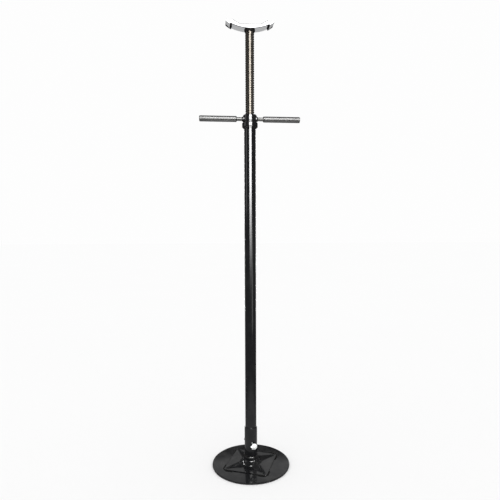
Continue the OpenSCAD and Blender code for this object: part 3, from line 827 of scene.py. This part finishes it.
def saddle():
    """The chromed tray: the curved trough and its two folded ends."""
    ends = [turned(folded_end(), end_frame(sign)) for sign in (1, -1)]
    return make_object("saddle_tray", *merged(trough(), *ends), "screw", "saddle_chrome",
                       chrome("chrome_plate"), ["saddle"], 32)


def end_beads():
    """Painted shade: two near-black beads, shaped as seam welds, laid along the creases where the
    folded ends meet the underside.
    """
    rings, sides = 60, 14
    half = SADDLE_HALF - 0.001
    drop = HEM_T / 2
    parts = []
    for sign in (1, -1):
        verts = []
        for i in range(rings + 1):
            t = i / rings
            end = math.sqrt(max(0.02, 1 - (2 * t - 1) ** 12))
            wave = end * (0.95 + 0.05 * ripple(sign + 2.0, 11 * t))
            for k in range(sides):
                a = TAU * k / sides
                verts.append(Vector((END_BEAD_R * (wave * math.cos(a) - 1), half * (2 * t - 1),
                                     0.9 * END_BEAD_R * wave * math.sin(a) - drop)))
        faces = grid_faces(rings + 1, sides) + end_faces(rings + 1, sides)
        parts.append(turned((verts, faces), end_frame(sign)))
    # the beads' near-black colour is painted shade for the dark crease under each folded end
    return make_object("end_beads", *merged(*parts), "screw", "end_weld",
                       weld_paint("paint_end_bead", SOOTY, 1.12), ["end_welds"], 60)


def repaint(node, material):
    """A CAD node keeps its mesh and gets a finished material."""
    for slot in NODES[node].material_slots:
        slot.material = material


def kept_nodes():
    """Hardware that keeps its CAD mesh: zinc bolt and stop, ground races, brass cage, cap."""
    zinc = bare_metal("zinc_bolt", (0.62, 0.63, 0.62), (0.82, 0.83, 0.82), (0.16, 0.30), 120)
    for node in ("socket_bolt", "bolt_washer", "bolt_nut", "stop_washer", "stop_bolt"):
        repaint(node, zinc)
    ground = bare_metal("ground_steel", (0.44, 0.44, 0.43), (0.60, 0.60, 0.59), (0.12, 0.24), 80)
    for node in ("lower_race", "upper_race", "bearing_balls"):
        repaint(node, ground)
    repaint("ball_cage", bare_metal("cage_brass", (0.50, 0.36, 0.15), (0.72, 0.56, 0.28),
                                    (0.18, 0.34), 80))
    repaint("post_cap", enamel("enamel_cap"))


# ---- floor, light and camera -----------------------------------------------

FLOOR_HALF = 30.0
FLOOR_DARK = (0.895, 0.895, 0.895)
FLOOR_LIGHT = (0.905, 0.905, 0.905)
ROOM_TONES = (0.05, 0.55)
WALL_FOOT = (23, 27)
WALL_HEAD = (36, 50)
SOFT_WHITE = 1.085
CAMERA_WHITE = 0.985
KEY_D = 1.9
KEY_SIDE = math.radians(9)
FILL_D = 2.2
CAMERA_D = 1.688
CAMERA_H = 0.908
CAMERA_TURN = math.radians(-5.0)
CAMERA_PITCH = math.radians(5.05)
CAMERA_ROLL = math.radians(-0.175)
SENSOR_MM = 36.0
LENS_MM = 32.472
SHIFT_X = -0.0007
SHIFT_Y = 0.04
HAND_PIECES = ("rod_", "grip_")
SCREW_PIECES = ("screw_thread",)
TRAY_PIECES = ("saddle_tray",)
HARDWARE = ("socket_bolt", "bolt_", "stop_", "lower_race", "upper_race", "ball_cage",
            "bearing_balls")
BARE = HAND_PIECES + SCREW_PIECES + TRAY_PIECES + HARDWARE
LOW_PAINT = ("plate_round", "gusset_")


def floor():
    """A plain white floor to the camera; to reflections it shows painted light, bright in front of
    the stand and darker further out.
    """
    # Centre, reach and brightness of the painted pool of light that reflections see on the floor.
    centre, reach, painted_light_tones = (0.03, -0.35, 0), (0.45, 0.85), (0.45, 0.07)
    m = Nodes("floor_pale")
    tone = m.mix(m.noise(0.8, 4), FLOOR_DARK, FLOOR_LIGHT)
    apart = m.tree.nodes.new("ShaderNodeVectorMath")
    apart.operation = "DISTANCE"
    m.link(m.place, apart.inputs[0])
    apart.inputs[1].default_value = centre
    # painted light: glossy rays see the floor bright near the stand and fading to dark further out,
    # painted into its colour, not cast by a lamp
    painted_light_patch = m.span(apart.outputs["Value"], *reach, *painted_light_tones)
    path = m.tree.nodes.new("ShaderNodeLightPath")
    shade = m.mix(path.outputs["Is Glossy Ray"], tone, painted_light_patch)
    m.shader.inputs["Specular IOR Level"].default_value = 0.0
    material = m.set(color=shade, roughness=1.0)
    mesh = bpy.data.meshes.new("floor")
    edge = FLOOR_HALF
    mesh.from_pydata([(-edge, -edge, 0), (edge, -edge, 0), (edge, edge, 0), (-edge, edge, 0)],
                     [], [(0, 1, 2, 3)])
    obj = bpy.data.objects.new("floor", mesh)
    bpy.context.scene.collection.objects.link(obj)
    mesh.materials.append(material)


def panel(name, place, aim, size, radiance, group):
    """A soft rectangular light of a given brightness, seen only as a reflection on a group."""
    width, height = size
    data = bpy.data.lights.new(name, "AREA")
    data.shape = "RECTANGLE"
    data.size = width
    data.size_y = height
    data.energy = radiance * math.pi * width * height
    obj = bpy.data.objects.new(name, data)
    bpy.context.scene.collection.objects.link(obj)
    obj.location = place
    obj.rotation_euler = (Vector(aim) - Vector(place)).to_track_quat("-Z", "Y").to_euler()
    obj.visible_camera = False
    obj.visible_diffuse = False
    obj.light_linking.receiver_collection = group


def around(angle, distance, height):
    """A point at that angle from the camera's side, counter-clockwise from above."""
    a = -math.pi / 2 + CAMERA_TURN + angle
    return Vector((distance * math.cos(a), distance * math.sin(a), height))


def receivers(name, starts, but=()):
    """The pieces whose names start in one of these ways, as a group that a light falls on."""
    group = bpy.data.collections.new(name)
    for obj in bpy.data.objects:
        if obj.type == "MESH" and obj.name.startswith(starts) and not obj.name.startswith(but):
            group.objects.link(obj)
    return group


def key_box(name, radiance, group):
    """A tall soft box behind the camera that fades out towards the floor."""
    width, top, full, end = 1.42, 3.1, 1.30, 0.40
    place = around(KEY_SIDE, KEY_D, (top + full) / 2)
    panel(name, place, (0, 0, place.z), (width, top - full), radiance, group)
    steps = 9
    slab = (full - end) / steps
    for k in range(steps):
        share = ((k + 0.5) / steps) ** 2
        place = around(KEY_SIDE, KEY_D, end + slab * (k + 0.5))
        panel("%s_%d" % (name, k), place, (0, 0, place.z), (width, slab), radiance * share, group)


def lights():
    """The key box at one brightness for each kind of surface, and weak fills and cards."""
    every = tuple(obj.name for obj in bpy.data.objects if obj.type == "MESH")
    paint = receivers("paint", every, BARE + ("floor",))
    upright = receivers("upright_paint", every, BARE + LOW_PAINT + ("floor",))
    hand = receivers("hand", HAND_PIECES)
    screw_group = receivers("screw_group", SCREW_PIECES)
    tray = receivers("tray", TRAY_PIECES)
    hardware = receivers("hardware", HARDWARE)
    key_box("key_paint", 33.0, upright)
    panel("gusset_glint", around(KEY_SIDE, 1.0, 1.6), (0, 0, 0.03), (0.7, 0.6), 30.0,
          receivers("gusset_group", ("gusset_star",)))
    key_box("key_screw", 8.0, screw_group)
    key_box("key_tray", 4.0, tray)
    key_box("key_hardware", 3.0, hardware)
    panel("front_hand", around(KEY_SIDE, KEY_D, 2.3), (0, 0, 1.8), (1.9, 1.8), 2.6, hand)
    panel("left_fill", around(math.radians(-77), FILL_D, 1.8), (0, 0, 1.4), (0.9, 1.5), 1.3, paint)
    panel("right_fill", around(math.radians(40), FILL_D, 0.5), (0, 0, 0.6), (0.9, 0.9), 1.7, paint)
    panel("back_strip", around(math.pi, FILL_D, 1.3), (0, 0, 1.3), (0.5, 2.2), 14.0,
          receivers("tubes", ("main_tube", "socket_tube")))
    for name, angle in (("left_screw", -80), ("right_screw", 80)):
        panel(name, around(math.radians(angle), FILL_D, 1.7), (0, 0, 1.5), (1.6, 2.0), 0.35,
              screw_group)
    panel("tray_card", (0, 8, 0.05), (0, 8, 3), (12, 12), 0.46, tray)
    panel("tray_wall", (5.5, 12, 1.0), (5.5, 0, 1.0), (7, 2.4), 0.40, tray)
    panel("bolt_card", (0.05, -0.68, 0.01), (0.05, -0.68, 3), (1.2, 1.04), 3.6, hardware)


def world():
    """White to the camera and to soft light; to mirrors a dark room with a paler wall band."""
    space = bpy.data.worlds.new("studio")
    bpy.context.scene.world = space
    space.use_nodes = True
    space.cycles.sampling_method = "NONE"
    tree = space.node_tree
    tree.nodes.clear()
    out = tree.nodes.new("ShaderNodeOutputWorld")
    path = tree.nodes.new("ShaderNodeLightPath")
    coords = tree.nodes.new("ShaderNodeTexCoord")
    apart = tree.nodes.new("ShaderNodeSeparateXYZ")
    tree.links.new(coords.outputs["Generated"], apart.inputs["Vector"])

    def ramp(source, low, high, out_low, out_high):
        node = tree.nodes.new("ShaderNodeMapRange")
        node.interpolation_type = "SMOOTHSTEP"
        node.inputs["From Min"].default_value = low
        node.inputs["From Max"].default_value = high
        node.inputs["To Min"].default_value = out_low
        node.inputs["To Max"].default_value = out_high
        tree.links.new(source, node.inputs["Value"])
        return node.outputs["Result"]

    def product(a, b):
        node = tree.nodes.new("ShaderNodeMath")
        node.operation = "MULTIPLY"
        tree.links.new(a, node.inputs[0])
        tree.links.new(b, node.inputs[1])
        return node.outputs["Value"]

    def background(strength):
        node = tree.nodes.new("ShaderNodeBackground")
        node.inputs["Color"].default_value = (1, 1, 1, 1)
        if isinstance(strength, float):
            node.inputs["Strength"].default_value = strength
        else:
            tree.links.new(strength, node.inputs["Strength"])
        return node.outputs["Background"]

    foot, head = np.sin(np.radians([WALL_FOOT, WALL_HEAD])).tolist()
    rising = ramp(apart.outputs["Z"], *foot, 0, 1)
    falling = ramp(apart.outputs["Z"], *head, 1, 0)
    behind = ramp(apart.outputs["Y"], 0.3, 0.8, 0, 1)
    wall = product(product(rising, falling), behind)
    shader = background(ramp(wall, 0, 1, *ROOM_TONES))
    for ray, strength in (("Is Diffuse Ray", SOFT_WHITE), ("Is Camera Ray", CAMERA_WHITE)):
        mix = tree.nodes.new("ShaderNodeMixShader")
        tree.links.new(path.outputs[ray], mix.inputs["Fac"])
        tree.links.new(shader, mix.inputs[1])
        tree.links.new(background(strength), mix.inputs[2])
        shader = mix.outputs["Shader"]
    tree.links.new(shader, out.inputs["Surface"])


def camera():
    """A chest-high viewpoint a little to the left, looking slightly down through a short lens."""
    data = bpy.data.cameras.new("camera")
    obj = bpy.data.objects.new("camera", data)
    bpy.context.scene.collection.objects.link(obj)
    data.sensor_width = SENSOR_MM
    data.lens = LENS_MM
    data.shift_x = SHIFT_X
    data.shift_y = SHIFT_Y
    obj.location = around(0, CAMERA_D, CAMERA_H)
    turn = Matrix.Rotation(CAMERA_TURN, 4, "Z")
    pitch = Matrix.Rotation(math.pi / 2 - CAMERA_PITCH, 4, "X")
    roll = Matrix.Rotation(CAMERA_ROLL, 4, "Z")
    obj.rotation_euler = (turn @ pitch @ roll).to_euler()
    data.clip_start = 0.01
    data.clip_end = 100
    bpy.context.scene.camera = obj


base_plate()
gusset()
gusset_beads()
socket()
socket_ring()
tube()
nut_body()
for side_name, side_sign in (("right", 1), ("left", -1)):
    rod(side_name, side_sign)
    grip(side_name, side_sign)
screw()
saddle_collar()
saddle()
end_beads()
kept_nodes()
floor()
lights()
world()
camera()
bpy.context.scene.view_settings.view_transform = "Standard"
